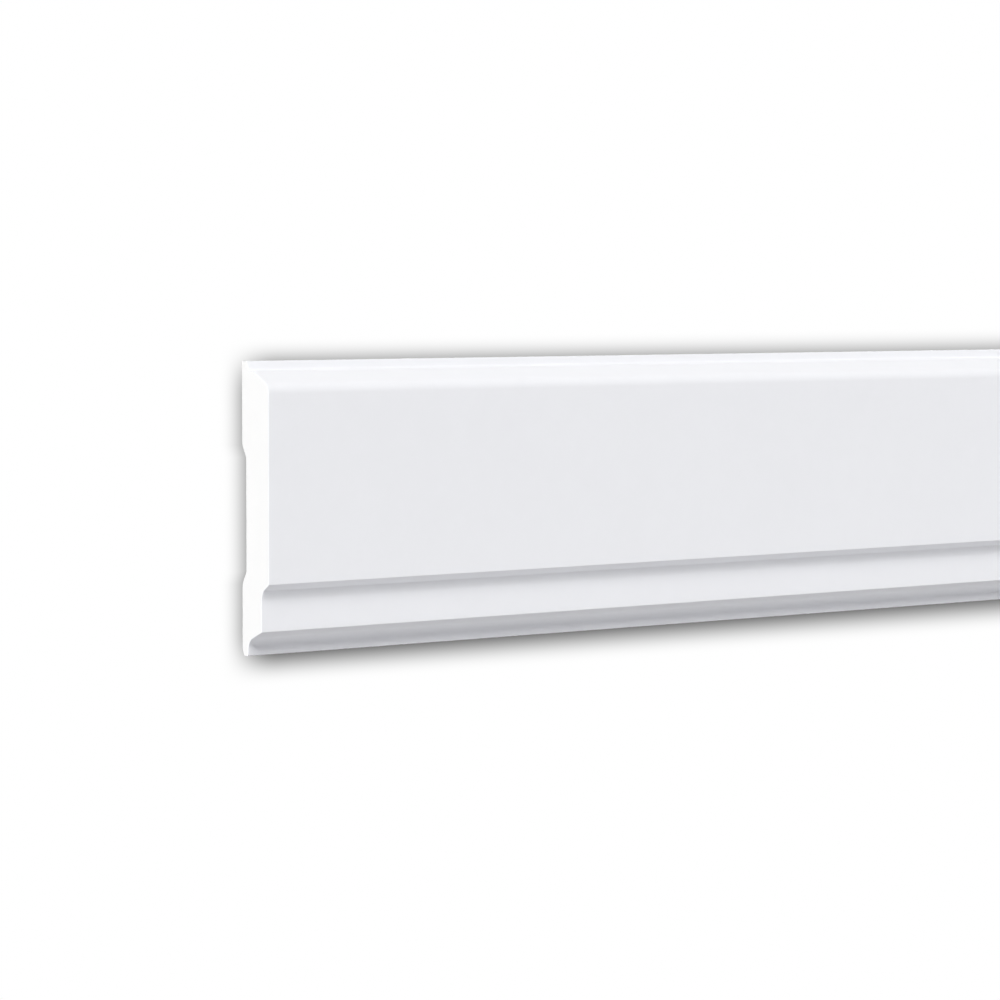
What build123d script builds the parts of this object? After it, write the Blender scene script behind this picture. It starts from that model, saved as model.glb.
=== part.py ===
from build123d import *
from math import radians, tan
import os

# Flexible wall moulding: one solid strip with the same section all along its length.
# The wall is the plane Y = 0, the face looks towards -Y, and the bottom edge lies at Z = 0.
# The near cut end lies at X = 0 and the strip runs towards +X. All sizes are in millimetres.

# Overall size of the strip
length = 2000.0
height = 95.0
thickness = 12.7

# Crown: a small quirk under the top edge, a narrow shelf, and a slope that rolls into the face
top_edge_width = 2.2
quirk_drop = 3.0
quirk_lean = 1.1
quirk_cove_radius = 1.5
shelf_width = 2.4
shelf_drop = 0.35
shelf_arris_radius = 2.0
crown_slope_drop = 4.45
crown_nose_radius = 4.4

# Step: a short slope back from the wide face, and a leaning hollow under it down to the lower band
face_foot_level = 23.35
step_depth = 2.6
step_drop = 2.05
step_cove_radius = 1.0
hollow_depth = 0.95
hollow_drop = 2.5
hollow_radius = 5.0

# Lower band, and the ogee that sweeps back from it to the thin lip at the bottom
band_foot_level = 7.87
ogee_foot_level = 4.93
ogee_cove_radius = 3.9
lip_thickness = 2.6
lip_lean = 0.38

# Heel: the eased corner where the lip meets the wall
heel_setback = 1.0
heel_rise = 3.0

# Back relief: a shallow channel between the two lands that are glued to the wall
relief_depth = 1.9
relief_ramp_rise = 4.0
lower_land_top = 23.2
upper_land_width = 27.0
land_round_radius = 5.0

# Softened arrises of the cast face, and the share of a wall that a corner's arc may take up
arris_radius = 0.4
arris_share = 0.3
arc_share = 0.6


def at(depth, level):
    """A point of the section, by its depth out from the wall and its level above the bottom edge."""
    return Vector(-depth, level)


def fitted(radius, share, corner, before, after):
    """The radius of a corner's arc, limited to a share of the shorter wall beside the corner."""
    wall_before = before - corner
    wall_after = after - corner
    half_angle = radians(wall_before.get_angle(wall_after)) / 2
    room = share * min(wall_before.length, wall_after.length)
    return min(radius, room * tan(half_angle))


# Levels and depths that follow from the sizes above
quirk_foot_depth = top_edge_width + quirk_lean
shelf_back_level = height - quirk_drop
shelf_front_depth = quirk_foot_depth + shelf_width
shelf_front_level = shelf_back_level - shelf_drop
nose_level = shelf_front_level - crown_slope_drop
step_foot_depth = thickness - step_depth
step_foot_level = face_foot_level - step_drop
band_depth = step_foot_depth - hollow_depth
band_head_level = step_foot_level - hollow_drop
relief_bottom_level = lower_land_top + relief_ramp_rise
upper_land_foot = height - upper_land_width
relief_top_level = upper_land_foot - relief_ramp_rise

# Corners in order, from the bottom edge up the face and down the back, each with the radius
# of its arc and the share of its walls that the arc may take; a corner with no radius is sharp
heel_front = at(heel_setback, 0)
heel_back = at(0, heel_rise)
corners = [
    (at(lip_thickness, 0), arris_radius, arris_share),
    (at(lip_thickness + lip_lean, ogee_foot_level), ogee_cove_radius, arc_share),
    (at(band_depth, band_foot_level), arris_radius, arris_share),
    (at(band_depth, band_head_level), hollow_radius, arc_share),
    (at(step_foot_depth, step_foot_level), step_cove_radius, arris_share),
    (at(thickness, face_foot_level), arris_radius, arris_share),
    (at(thickness, nose_level), crown_nose_radius, arc_share),
    (at(shelf_front_depth, shelf_front_level), shelf_arris_radius, arris_share),
    (at(quirk_foot_depth, shelf_back_level), quirk_cove_radius, arc_share),
    (at(top_edge_width, height), arris_radius, arris_share),
    (at(0, height), 0, arris_share),
    (at(0, upper_land_foot), land_round_radius, arc_share),
    (at(relief_depth, relief_top_level), 0, arris_share),
    (at(relief_depth, relief_bottom_level), 0, arris_share),
    (at(0, lower_land_top), land_round_radius, arc_share),
]
walk = [heel_front] + [corner for corner, radius, share in corners] + [heel_back]
radii = [
    fitted(radius, share, corner, walk[place], walk[place + 2])
    for place, (corner, radius, share) in enumerate(corners)
]

# The strip: its section, run along the whole length between two square cut ends
with BuildPart() as moulding:
    with BuildSketch(Plane.YZ) as section:
        with BuildLine() as outline:
            FilletPolyline(walk, radius=radii)
            TangentArc(heel_back, heel_front, tangent=(0, -1))
        make_face()
    extrude(amount=length)

moulding.part.label = "moulding"
os.makedirs("parts", exist_ok=True)
export_step(moulding.part, "parts/moulding.step")
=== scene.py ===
import math

import bmesh
import bpy
from mathutils import Matrix, Vector


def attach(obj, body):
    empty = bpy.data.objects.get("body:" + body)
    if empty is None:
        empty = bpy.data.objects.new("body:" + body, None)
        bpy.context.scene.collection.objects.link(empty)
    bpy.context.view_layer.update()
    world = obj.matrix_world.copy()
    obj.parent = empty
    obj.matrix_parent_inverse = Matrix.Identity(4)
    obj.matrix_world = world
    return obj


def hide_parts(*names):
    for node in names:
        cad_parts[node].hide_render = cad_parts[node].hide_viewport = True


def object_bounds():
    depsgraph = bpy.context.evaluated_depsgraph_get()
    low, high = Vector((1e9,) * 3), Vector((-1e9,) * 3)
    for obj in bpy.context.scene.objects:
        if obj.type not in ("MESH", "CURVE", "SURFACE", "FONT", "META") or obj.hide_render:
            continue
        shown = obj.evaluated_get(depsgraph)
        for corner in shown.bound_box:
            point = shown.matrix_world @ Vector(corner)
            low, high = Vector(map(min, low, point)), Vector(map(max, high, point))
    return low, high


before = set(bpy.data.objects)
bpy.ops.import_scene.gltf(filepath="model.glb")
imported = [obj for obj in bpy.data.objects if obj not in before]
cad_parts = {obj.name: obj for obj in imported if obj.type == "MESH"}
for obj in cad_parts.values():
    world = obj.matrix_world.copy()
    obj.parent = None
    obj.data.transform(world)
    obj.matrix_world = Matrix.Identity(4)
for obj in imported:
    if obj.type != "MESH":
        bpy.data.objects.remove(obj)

# Flexible wall moulding, one cast strip of primed polyurethane on a white wall. All sizes are in
# metres. The wall is the plane Y = 0, the face looks towards -Y, the bottom edge lies at Z = 0,
# and the strip runs from its near cut end at X = 0 towards +X.

# The whole size of the strip comes from the frame
cad_low, cad_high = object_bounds()
NODE = "moulding"
NEAR_END = cad_low.x
FAR_END = cad_high.x
HEIGHT = cad_high.z - cad_low.z
THICKNESS = cad_high.y - cad_low.y

# Crown: a small quirk under the top edge, a narrow shelf, and a slope that rolls into the face
TOP_EDGE_WIDTH = 0.0022
QUIRK_DROP = 0.003
QUIRK_LEAN = 0.0011
QUIRK_COVE_RADIUS = 0.0015
SHELF_WIDTH = 0.0024
SHELF_DROP = 0.00035
SHELF_ARRIS_RADIUS = 0.002
CROWN_SLOPE_DROP = 0.00445
CROWN_NOSE_RADIUS = 0.0044

# Step back from the wide face, and the leaning hollow under it down to the lower band
FACE_FOOT_LEVEL = 0.02335
STEP_DEPTH = 0.0026
STEP_DROP = 0.00205
STEP_COVE_RADIUS = 0.001
HOLLOW_DEPTH = 0.00095
HOLLOW_DROP = 0.0025
HOLLOW_RADIUS = 0.005

# Lower band, the ogee under it, the thin lip at the bottom, and the eased heel behind the lip
BAND_FOOT_LEVEL = 0.00787
OGEE_FOOT_LEVEL = 0.00493
OGEE_COVE_RADIUS = 0.0039
LIP_THICKNESS = 0.0026
LIP_LEAN = 0.00038
HEEL_SETBACK = 0.001
HEEL_RISE = 0.003

# Back relief between the two lands that are glued to the wall
RELIEF_DEPTH = 0.0019
RELIEF_RAMP_RISE = 0.004
LOWER_LAND_TOP = 0.0232
UPPER_LAND_WIDTH = 0.027
LAND_ROUND_RADIUS = 0.005

# Softened arrises of the cast face, and the share of a wall that a corner's arc may take up
ARRIS_RADIUS = 0.0004
ARRIS_SHARE = 0.3
ARC_SHARE = 0.6

# How finely the strip is meshed: arcs, margins beside the flats, sawn ends, rings and creases
ARC_STEP = math.radians(5)
SHORTEST_FLAT = 0.001
FLAT_MARGIN = 0.00012
SAWN_ARRIS = 0.00008
STATION_GAP = 0.05
CREASE_ANGLE = math.radians(20)

# The strip's three finishes, and how squarely a mesh face looks along X or +Y to take one
FACE, BACK, SAWN = range(3)
SAWN_FACING = 0.9
BACK_FACING = 0.3

# Colours and sheen of the finishes
WHITE = (1.0, 1.0, 1.0, 1.0)
PRIMER_WHITE = (0.855, 0.867, 0.927, 1.0)
RAW_WHITE = (0.85, 0.85, 0.84, 1.0)
FOAM_WHITE = (0.875, 0.88, 0.9, 1.0)
SHEEN_LEVEL = 0.12

# Fine surface of the finishes: scales are in cells for each metre, and heights are in metres
NOISE_DETAIL = 2.0
MOTTLE_WIDE = 22.0
MOTTLE_FINE = 130.0
LINE_STRETCH = 0.03
CELL_SCALE = 2200.0
CELL_OPENING = 0.22
CELL_DEPTH = 2e-5
STROKE_STRETCH = 0.05
STROKE_SCALE = 1500.0
STROKE_HEIGHT = 1e-5
BUMP_DISTANCE = 1.0

# Wall and floor of the stage
STAGE_LEFT = -8.0
STAGE_RIGHT = 10.0
WALL_TOP = 5.0
WALL_GAP = 0.0002
FLOOR_LEVEL = -0.9
FLOOR_FRONT = -8.0

# Painted soft shadow on the wall round the strip, drawn into the wall's white and not cast by the
# lamps:
# half the width of its edge, and how many times wider that is at the cut ends; how far inside the
# strip's outline the edge lies, and how far it is moved down and to the right; how deep and how
# steep it is; how much it grows with each metre along the strip; and the share of the back relief's
# depth by which it is moved beside the relief
SHADE_BLUR = 0.0108
SHADE_STRETCH = 1.34
SHADE_INSET = 0.00096
SHADE_DROP = 0.00166
SHADE_RIGHT = 0.00265
SHADE_DEPTH = 0.95
SHADE_CURVE = 2.2
SHADE_SPREAD = 0.43
RELIEF_PULL = 0.8

# Camera, at the viewing angle of the photograph: degrees to the right of +Y and below the horizon,
# and its lens and sensor in millimetres
CAMERA_PLACE = (-0.99873, -1.11636, 0.11946)
CAMERA_YAW = 44.994
CAMERA_PITCH = 2.649
CAMERA_LENS = 167.36
SENSOR_WIDTH = 36.0

# Lamps
WARM_WHITE = (1.01, 1.0, 0.955)
LOW_WHITE = (1.02, 1.0, 0.95)
COOL_WHITE = (0.98, 1.0, 1.04)
LAMP_SOFTNESS = math.radians(30)


def at(depth, level):
    """A point of the section as (Y, Z), by its depth out from the wall and its level."""
    return Vector((-depth, level))


def fitted(radius, share, corner, before, after):
    """The radius of a corner's arc, limited to a share of the shorter wall beside the corner."""
    wall_before = before - corner
    wall_after = after - corner
    room = share * min(wall_before.length, wall_after.length)
    return min(radius, room * math.tan(wall_before.angle(wall_after) / 2))


def arc(start, centre, turn):
    """Points along an arc that starts at a point and turns about its centre."""
    steps = max(2, math.ceil(abs(turn) / ARC_STEP))
    return [
        centre + Matrix.Rotation(turn * step / steps, 2) @ (start - centre)
        for step in range(steps + 1)
    ]


def corner_arc(radius, corner, before, after):
    """Points of the arc that rounds one corner of the section, or the corner if it is sharp."""
    if not radius:
        return [corner]
    back = (before - corner).normalized()
    ahead = (after - corner).normalized()
    half = back.angle(ahead) / 2
    start = corner + back * radius / math.tan(half)
    centre = corner + (back + ahead).normalized() * radius / math.sin(half)
    turn = math.copysign(math.pi - 2 * half, ahead.cross(back))
    return arc(start, centre, turn)


def heel_arc():
    """Points of the heel, an arc that leaves the wall straight down and ends at the bottom edge."""
    radius = (HEEL_SETBACK**2 + HEEL_RISE**2) / (2 * HEEL_SETBACK)
    turn = math.asin(HEEL_RISE / radius)
    return arc(at(0, HEEL_RISE), at(radius, HEEL_RISE), -turn)


def section_corners():
    """Corners from the bottom edge up the face and down the back: point, radius and share."""
    quirk_foot_depth = TOP_EDGE_WIDTH + QUIRK_LEAN
    shelf_back_level = HEIGHT - QUIRK_DROP
    shelf_front_depth = quirk_foot_depth + SHELF_WIDTH
    shelf_front_level = shelf_back_level - SHELF_DROP
    nose_level = shelf_front_level - CROWN_SLOPE_DROP
    step_foot_depth = THICKNESS - STEP_DEPTH
    step_foot_level = FACE_FOOT_LEVEL - STEP_DROP
    band_depth = step_foot_depth - HOLLOW_DEPTH
    upper_land_foot = HEIGHT - UPPER_LAND_WIDTH
    return [
        (at(LIP_THICKNESS, 0), ARRIS_RADIUS, ARRIS_SHARE),
        (at(LIP_THICKNESS + LIP_LEAN, OGEE_FOOT_LEVEL), OGEE_COVE_RADIUS, ARC_SHARE),
        (at(band_depth, BAND_FOOT_LEVEL), ARRIS_RADIUS, ARRIS_SHARE),
        (at(band_depth, step_foot_level - HOLLOW_DROP), HOLLOW_RADIUS, ARC_SHARE),
        (at(step_foot_depth, step_foot_level), STEP_COVE_RADIUS, ARRIS_SHARE),
        (at(THICKNESS, FACE_FOOT_LEVEL), ARRIS_RADIUS, ARRIS_SHARE),
        (at(THICKNESS, nose_level), CROWN_NOSE_RADIUS, ARC_SHARE),
        (at(shelf_front_depth, shelf_front_level), SHELF_ARRIS_RADIUS, ARRIS_SHARE),
        (at(quirk_foot_depth, shelf_back_level), QUIRK_COVE_RADIUS, ARC_SHARE),
        (at(TOP_EDGE_WIDTH, HEIGHT), ARRIS_RADIUS, ARRIS_SHARE),
        (at(0, HEIGHT), 0, ARRIS_SHARE),
        (at(0, upper_land_foot), LAND_ROUND_RADIUS, ARC_SHARE),
        (at(RELIEF_DEPTH, upper_land_foot - RELIEF_RAMP_RISE), 0, ARRIS_SHARE),
        (at(RELIEF_DEPTH, LOWER_LAND_TOP + RELIEF_RAMP_RISE), 0, ARRIS_SHARE),
        (at(0, LOWER_LAND_TOP), LAND_ROUND_RADIUS, ARC_SHARE),
    ]


def section_outline():
    """The closed outline of the section, clockwise in (Y, Z), with a margin beside each flat."""
    corners = section_corners()
    heel = heel_arc()
    walk = [heel[-1]] + [corner for corner, radius, share in corners] + [heel[0]]
    points = []
    for place, (corner, radius, share) in enumerate(corners):
        before = walk[place]
        after = walk[place + 2]
        points += corner_arc(fitted(radius, share, corner, before, after), corner, before, after)
    points += heel
    return with_margins(points)


def with_margins(points):
    """The outline with a point close to both ends of each flat, so that flats shade flat."""
    outline = []
    for place, point in enumerate(points):
        outline.append(point)
        wall = points[(place + 1) % len(points)] - point
        if wall.length > SHORTEST_FLAT:
            margin = wall.normalized() * FLAT_MARGIN
            outline.append(point + margin)
            outline.append(point + wall - margin)
    return outline


def drawn_in(points, distance):
    """A clockwise outline drawn in by a distance, with its walls kept parallel."""
    moved = []
    for place, point in enumerate(points):
        before = (point - points[place - 1]).normalized()
        after = (points[(place + 1) % len(points)] - point).normalized()
        inward_after = Vector((after.y, -after.x))
        inward = (Vector((before.y, -before.x)) + inward_after).normalized()
        moved.append(point + inward * distance / inward.dot(inward_after))
    return moved


def stations():
    """Places along the length with a full section, from just inside one cut end to the other."""
    first = NEAR_END + SAWN_ARRIS
    last = FAR_END - SAWN_ARRIS
    count = math.ceil((last - first) / STATION_GAP)
    return [first + (last - first) * step / count for step in range(count + 1)]


def strip_mesh(name):
    """The strip as one closed mesh: rings of the section, and the two sawn ends."""
    outline = section_outline()
    small = drawn_in(outline, SAWN_ARRIS)
    rings = [(NEAR_END, small)]
    rings += [(place, outline) for place in stations()]
    rings += [(FAR_END, small)]
    work = bmesh.new()
    loops = [[work.verts.new((x, y, z)) for y, z in points] for x, points in rings]
    for near, far in zip(loops, loops[1:]):
        for place in range(len(outline)):
            work.faces.new((near[place - 1], near[place], far[place], far[place - 1]))
    ends = [work.faces.new(loops[0]), work.faces.new(loops[-1])]
    bmesh.ops.recalc_face_normals(work, faces=work.faces)
    bmesh.ops.triangulate(work, faces=ends)
    mesh = bpy.data.meshes.new(name)
    work.to_mesh(mesh)
    work.free()
    return mesh


def dress(mesh, materials):
    """Puts the primed skin on the face, the raw skin on the back, and sawn foam on the ends."""
    for material in materials:
        mesh.materials.append(material)
    for face in mesh.polygons:
        if abs(face.normal.x) > SAWN_FACING:
            face.material_index = SAWN
        elif face.normal.y > BACK_FACING:
            face.material_index = BACK
        else:
            face.material_index = FACE
    mesh.shade_smooth()
    mesh.set_sharp_from_angle(angle=CREASE_ANGLE)


def put(tree, socket, value):
    """Sets an input to a value, or links it to an output."""
    if isinstance(value, bpy.types.NodeSocket):
        tree.links.new(value, socket)
    else:
        socket.default_value = value


def put_all(tree, node, values):
    """Sets or links a node's inputs by name, with underscores for the spaces."""
    for name, value in values.items():
        put(tree, node.inputs[name.replace("_", " ")], value)


def new_node(tree, kind, **inputs):
    """A node of a kind, with values or links on its inputs."""
    node = tree.nodes.new(kind)
    put_all(tree, node, inputs)
    return node


def placed_group(tree, group, **inputs):
    """A group placed in a material, with its own values."""
    node = tree.nodes.new("ShaderNodeGroup")
    node.node_tree = group
    put_all(tree, node, inputs)
    return node


def math_node(tree, operation, first, second=0.0):
    """The output of a Math node."""
    node = tree.nodes.new("ShaderNodeMath")
    node.operation = operation
    put(tree, node.inputs[0], first)
    put(tree, node.inputs[1], second)
    return node.outputs["Value"]


def noise(tree, coordinates, scale):
    """A noise value from 0 to 1 at a scale in cells for each metre."""
    node = new_node(
        tree, "ShaderNodeTexNoise", Vector=coordinates, Scale=scale, Detail=NOISE_DETAIL
    )
    return node.outputs["Fac"]


def stretched(tree, coordinates, along, up):
    """Coordinates scaled along X and up Z; a factor below 1 draws a pattern out that way."""
    node = tree.nodes.new("ShaderNodeVectorMath")
    node.operation = "MULTIPLY"
    put(tree, node.inputs[0], coordinates)
    node.inputs[1].default_value = (along, 1.0, up)
    return node.outputs["Vector"]


def object_place(tree):
    """Coordinates of the strip itself, which a pattern keeps to wherever the strip goes."""
    return tree.nodes.new("ShaderNodeTexCoord").outputs["Object"]


def group_tree(name, inputs, outputs):
    """An empty shader group with named inputs and outputs, its input node and its output node."""
    tree = bpy.data.node_groups.new(name, "ShaderNodeTree")
    for label, kind in inputs:
        tree.interface.new_socket(label, in_out="INPUT", socket_type=kind)
    for label, kind in outputs:
        tree.interface.new_socket(label, in_out="OUTPUT", socket_type=kind)
    return tree, tree.nodes.new("NodeGroupInput"), tree.nodes.new("NodeGroupOutput")


def cast_mottle_group():
    """Faint cloudy patches in the colour and the roughness, as a cast and sprayed skin has."""
    tree, given, result = group_tree(
        "cast_mottle",
        [
            ("Colour", "NodeSocketColor"),
            ("Contrast", "NodeSocketFloat"),
            ("Roughness", "NodeSocketFloat"),
            ("Roughness contrast", "NodeSocketFloat"),
        ],
        [("Colour", "NodeSocketColor"), ("Roughness", "NodeSocketFloat")],
    )
    place = object_place(tree)
    wide = noise(tree, place, MOTTLE_WIDE)
    fine = noise(tree, place, MOTTLE_FINE)
    cloud = math_node(tree, "SUBTRACT", math_node(tree, "ADD", wide, fine), 1.0)
    shade = math_node(tree, "MULTIPLY", cloud, given.outputs["Contrast"])
    scale = tree.nodes.new("ShaderNodeVectorMath")
    scale.operation = "SCALE"
    put(tree, scale.inputs[0], given.outputs["Colour"])
    put(tree, scale.inputs["Scale"], math_node(tree, "ADD", shade, 1.0))
    put(tree, result.inputs["Colour"], scale.outputs["Vector"])
    dull = math_node(tree, "MULTIPLY", cloud, given.outputs["Roughness contrast"])
    rough = math_node(tree, "ADD", dull, given.outputs["Roughness"])
    put(tree, result.inputs["Roughness"], rough)
    return tree


def skin_relief_group():
    """Height of a skin's fine relief: an orange peel, and faint lines drawn out along the strip."""
    tree, given, result = group_tree(
        "skin_relief",
        [
            ("Peel scale", "NodeSocketFloat"),
            ("Peel height", "NodeSocketFloat"),
            ("Line scale", "NodeSocketFloat"),
            ("Line height", "NodeSocketFloat"),
        ],
        [("Height", "NodeSocketFloat")],
    )
    place = object_place(tree)
    peel = noise(tree, place, given.outputs["Peel scale"])
    drawn = stretched(tree, place, LINE_STRETCH, 1.0)
    line = noise(tree, drawn, given.outputs["Line scale"])
    peel_height = math_node(tree, "MULTIPLY", peel, given.outputs["Peel height"])
    line_height = math_node(tree, "MULTIPLY", line, given.outputs["Line height"])
    put(tree, result.inputs["Height"], math_node(tree, "ADD", peel_height, line_height))
    return tree


def surface(name):
    """A material with a Principled shader, ready for its nodes."""
    material = bpy.data.materials.new(name)
    material.use_nodes = True
    tree = material.node_tree
    return material, tree, tree.nodes["Principled BSDF"]


def finish_surface(tree, shader, clouds, height):
    """Feeds a Principled shader from its mottle and from the height of its relief."""
    shader.inputs["Specular IOR Level"].default_value = SHEEN_LEVEL
    put(tree, shader.inputs["Base Color"], clouds.outputs["Colour"])
    put(tree, shader.inputs["Roughness"], clouds.outputs["Roughness"])
    bump = new_node(tree, "ShaderNodeBump", Height=height, Distance=BUMP_DISTANCE)
    put(tree, shader.inputs["Normal"], bump.outputs["Normal"])


def skin_material(name, mottle, relief):
    """A polyurethane skin from its mottle and relief values."""
    material, tree, shader = surface(name)
    clouds = placed_group(tree, groups["mottle"], **mottle)
    height = placed_group(tree, groups["relief"], **relief)
    finish_surface(tree, shader, clouds, height.outputs["Height"])
    return material


def primed_skin():
    """White factory primer on the moulded face, satin, with faint lines along the strip."""
    return skin_material(
        "primed_skin",
        dict(Colour=PRIMER_WHITE, Contrast=0.02, Roughness=0.62, Roughness_contrast=0.12),
        dict(Peel_scale=700.0, Peel_height=4e-6, Line_scale=900.0, Line_height=6e-6),
    )


def raw_skin():
    """The unprimed back, a little warmer and with a coarser relief, as it leaves the mould."""
    return skin_material(
        "raw_skin",
        dict(Colour=RAW_WHITE, Contrast=0.05, Roughness=0.6, Roughness_contrast=0.15),
        dict(Peel_scale=450.0, Peel_height=1.5e-5, Line_scale=500.0, Line_height=1e-5),
    )


def sawn_foam():
    """Cut polyurethane: dense white foam with tiny cells and the faint strokes of a fine saw."""
    material, tree, shader = surface("sawn_foam")
    mottle = dict(Colour=FOAM_WHITE, Contrast=0.02, Roughness=0.62, Roughness_contrast=0.1)
    clouds = placed_group(tree, groups["mottle"], **mottle)
    place = object_place(tree)
    cells = new_node(tree, "ShaderNodeTexVoronoi", Vector=place, Scale=CELL_SCALE)
    pit = math_node(tree, "LESS_THAN", cells.outputs["Distance"], CELL_OPENING)
    strokes = noise(tree, stretched(tree, place, 1.0, STROKE_STRETCH), STROKE_SCALE)
    pit_height = math_node(tree, "MULTIPLY", pit, -CELL_DEPTH)
    stroke_height = math_node(tree, "MULTIPLY", strokes, STROKE_HEIGHT)
    finish_surface(tree, shader, clouds, math_node(tree, "ADD", pit_height, stroke_height))
    return material


def painted_shadow_share(tree, place, middle, half, blur):
    """How deep a place of the wall lies in the strip's painted soft shadow, across one axis: 0 to
    1.
    """
    offset = math_node(tree, "ABSOLUTE", math_node(tree, "SUBTRACT", place, middle))
    beyond = math_node(tree, "SUBTRACT", offset, half)
    share = new_node(
        tree,
        "ShaderNodeMapRange",
        Value=math_node(tree, "DIVIDE", beyond, blur),
        From_Min=1.0,
        From_Max=-1.0,
    )
    share.interpolation_type = "SMOOTHERSTEP"
    return share.outputs["Result"]


def painted_contact_shadow(tree):
    """The wall's level of white, with a painted shadow: full away from the strip, and darker close
    round its outline. The painted shadow falls a little down and to the right, and spreads further
    along the strip."""
    position = tree.nodes.new("ShaderNodeNewGeometry").outputs["Position"]
    place = new_node(tree, "ShaderNodeSeparateXYZ", Vector=position)
    along_wall = math_node(tree, "MAXIMUM", place.outputs["X"], 0.0)
    spread = math_node(tree, "ADD", math_node(tree, "MULTIPLY", along_wall, SHADE_SPREAD), 1.0)
    centre = (NEAR_END + FAR_END) / 2 + SHADE_RIGHT
    middle = math_node(tree, "ADD", painted_shadow_relief_shift(tree, place.outputs["Z"]), centre)
    half = (FAR_END - NEAR_END) / 2 - SHADE_INSET
    along = painted_shadow_share(tree, place.outputs["X"], middle, half, SHADE_BLUR * SHADE_STRETCH)
    level = math_node(tree, "ADD", math_node(tree, "MULTIPLY", spread, -SHADE_DROP), HEIGHT / 2)
    rise = math_node(tree, "ADD", math_node(tree, "MULTIPLY", spread, -SHADE_INSET), HEIGHT / 2)
    blur = math_node(tree, "MULTIPLY", spread, SHADE_BLUR)
    up = painted_shadow_share(tree, place.outputs["Z"], level, rise, blur)
    shade = math_node(tree, "MULTIPLY", math_node(tree, "MULTIPLY", along, up), SHADE_DEPTH)
    return math_node(tree, "POWER", math_node(tree, "SUBTRACT", 1.0, shade), SHADE_CURVE)


def painted_shadow_relief_shift(tree, level):
    """How far the painted shadow is moved to the right at a level, beside the gap behind the back
    relief.
    """
    foot = LOWER_LAND_TOP
    head = HEIGHT - UPPER_LAND_WIDTH
    offset = math_node(tree, "ABSOLUTE", math_node(tree, "SUBTRACT", level, (foot + head) / 2))
    inside = math_node(tree, "SUBTRACT", (head - foot) / 2, offset)
    share = math_node(tree, "DIVIDE", inside, RELIEF_RAMP_RISE)
    share = math_node(tree, "MINIMUM", math_node(tree, "MAXIMUM", share, 0.0), 1.0)
    return math_node(tree, "MULTIPLY", share, RELIEF_DEPTH * RELIEF_PULL)


def backdrop_material():
    """White wall or floor for the camera, with a painted shadow close round the strip, and clear
    from behind.
    """
    material = bpy.data.materials.new("white_backdrop")
    material.use_nodes = True
    tree = material.node_tree
    tree.nodes.clear()
    # The emission's strength carries the painted shadow round the strip
    glow = new_node(tree, "ShaderNodeEmission", Strength=painted_contact_shadow(tree))
    clear = tree.nodes.new("ShaderNodeBsdfTransparent")
    behind = tree.nodes.new("ShaderNodeNewGeometry").outputs["Backfacing"]
    mix = tree.nodes.new("ShaderNodeMixShader")
    put(tree, mix.inputs[0], behind)
    put(tree, mix.inputs[1], glow.outputs["Emission"])
    put(tree, mix.inputs[2], clear.outputs["BSDF"])
    out = tree.nodes.new("ShaderNodeOutputMaterial")
    put(tree, out.inputs["Surface"], mix.outputs["Shader"])
    return material


def stage_sheet(name, corners, material):
    """A flat sheet of the stage, kept out of the light, the shadows and the reflections."""
    mesh = bpy.data.meshes.new(name)
    mesh.from_pydata(corners, [], [range(len(corners))])
    mesh.materials.append(material)
    sheet = bpy.data.objects.new(name, mesh)
    bpy.context.scene.collection.objects.link(sheet)
    sheet.visible_diffuse = False
    sheet.visible_glossy = False
    sheet.visible_shadow = False


def make_stage():
    """The wall behind the strip and the floor below it."""
    material = backdrop_material()
    foot_left = (STAGE_LEFT, WALL_GAP, FLOOR_LEVEL)
    foot_right = (STAGE_RIGHT, WALL_GAP, FLOOR_LEVEL)
    head_right = (STAGE_RIGHT, WALL_GAP, WALL_TOP)
    head_left = (STAGE_LEFT, WALL_GAP, WALL_TOP)
    front_left = (STAGE_LEFT, FLOOR_FRONT, FLOOR_LEVEL)
    front_right = (STAGE_RIGHT, FLOOR_FRONT, FLOOR_LEVEL)
    stage_sheet("wall", [foot_left, foot_right, head_right, head_left], material)
    stage_sheet("floor", [front_left, front_right, foot_right, foot_left], material)


def add_camera():
    """The camera, level from side to side and looking slightly down along the strip."""
    data = bpy.data.cameras.new("camera")
    data.sensor_width = SENSOR_WIDTH
    data.lens = CAMERA_LENS
    camera = bpy.data.objects.new("camera", data)
    camera.location = CAMERA_PLACE
    camera.rotation_euler = (math.radians(90 - CAMERA_PITCH), 0, math.radians(-CAMERA_YAW))
    bpy.context.scene.collection.objects.link(camera)
    bpy.context.scene.camera = camera


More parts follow.
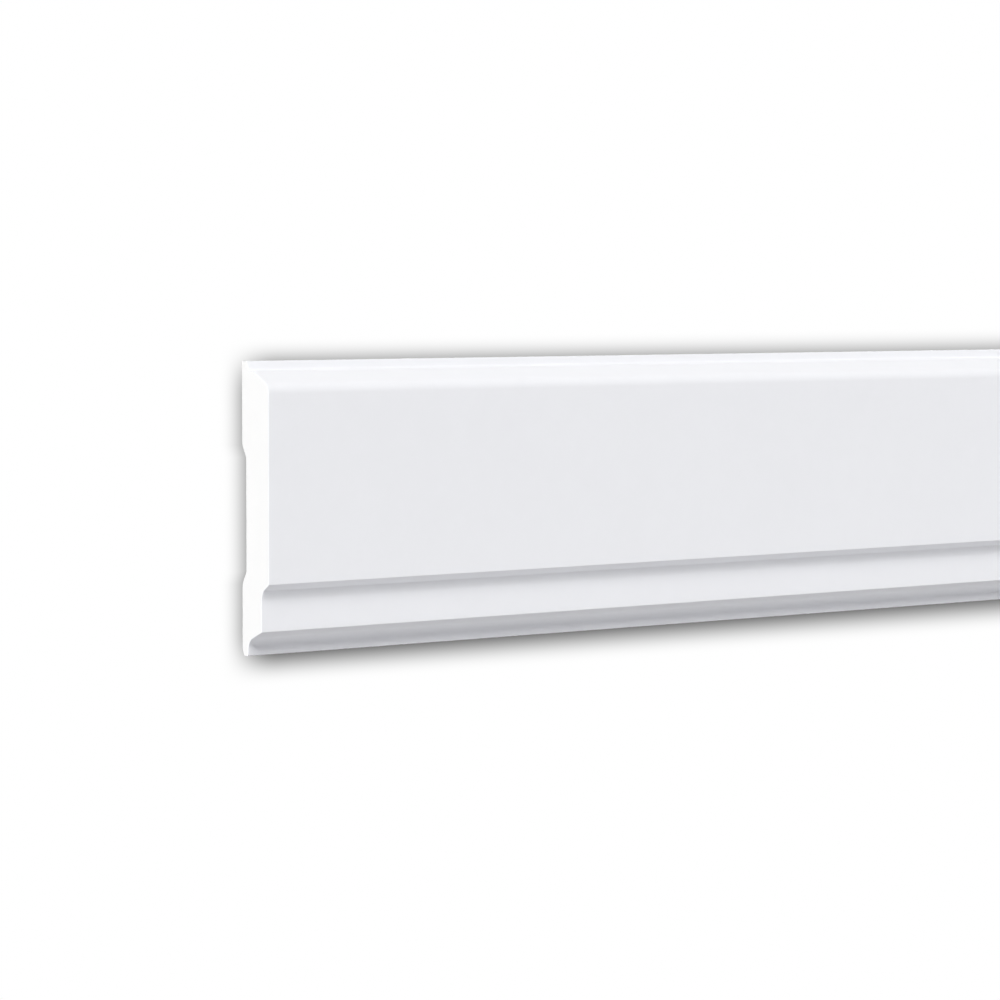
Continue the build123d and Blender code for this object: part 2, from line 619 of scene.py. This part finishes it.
def add_sun(name, azimuth, elevation, level, colour):
    """A soft lamp from far away. Azimuth 0 comes from straight in front and -90 from the left;
    a level of 1 lights a white surface that faces it to white."""
    data = bpy.data.lights.new(name, "SUN")
    data.energy = level * math.pi
    data.color = colour
    data.angle = LAMP_SOFTNESS
    sun = bpy.data.objects.new(name, data)
    turn = math.radians(azimuth)
    rise = math.radians(elevation)
    towards = Vector(
        (math.sin(turn) * math.cos(rise), -math.cos(turn) * math.cos(rise), math.sin(rise))
    )
    sun.rotation_mode = "QUATERNION"
    sun.rotation_quaternion = towards.to_track_quat("Z", "Y")
    bpy.context.scene.collection.objects.link(sun)


def add_lamps():
    """Soft, level light: two lamps from above the face, two from below it, one from each side,
    and two that light the back and the far end."""
    add_sun("key", azimuth=-40, elevation=50, level=0.65, colour=WARM_WHITE)
    add_sun("front_top", azimuth=0, elevation=50, level=0.42, colour=WARM_WHITE)
    add_sun("left_low", azimuth=-75, elevation=-30, level=0.62, colour=LOW_WHITE)
    add_sun("left_fill", azimuth=-75, elevation=-10, level=0.32, colour=COOL_WHITE)
    add_sun("right_fill", azimuth=75, elevation=0, level=0.2, colour=COOL_WHITE)
    add_sun("front_low", azimuth=0, elevation=-30, level=0.08, colour=LOW_WHITE)
    add_sun("back_key", azimuth=165, elevation=10, level=0.55, colour=COOL_WHITE)
    add_sun("back_fill", azimuth=125, elevation=-5, level=0.4, colour=COOL_WHITE)


def set_world():
    """White where the camera or a reflection looks past the stage, and no light otherwise."""
    world = bpy.data.worlds.new("studio")
    bpy.context.scene.world = world
    world.use_nodes = True
    tree = world.node_tree
    tree.nodes.clear()
    path = tree.nodes.new("ShaderNodeLightPath")
    seen = math_node(tree, "MAXIMUM", path.outputs["Is Camera Ray"], path.outputs["Is Glossy Ray"])
    seen = math_node(tree, "MAXIMUM", seen, path.outputs["Is Transmission Ray"])
    sky = new_node(tree, "ShaderNodeBackground", Color=WHITE, Strength=seen)
    out = tree.nodes.new("ShaderNodeOutputWorld")
    put(tree, out.inputs["Surface"], sky.outputs["Background"])


add_camera()
groups = {"mottle": cast_mottle_group(), "relief": skin_relief_group()}

strip = bpy.data.objects.new("moulding_strip", strip_mesh("moulding_strip"))
bpy.context.scene.collection.objects.link(strip)
dress(strip.data, [primed_skin(), raw_skin(), sawn_foam()])
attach(strip, "root")
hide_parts(NODE)

make_stage()
add_lamps()
set_world()
bpy.context.scene.view_settings.view_transform = "Standard"
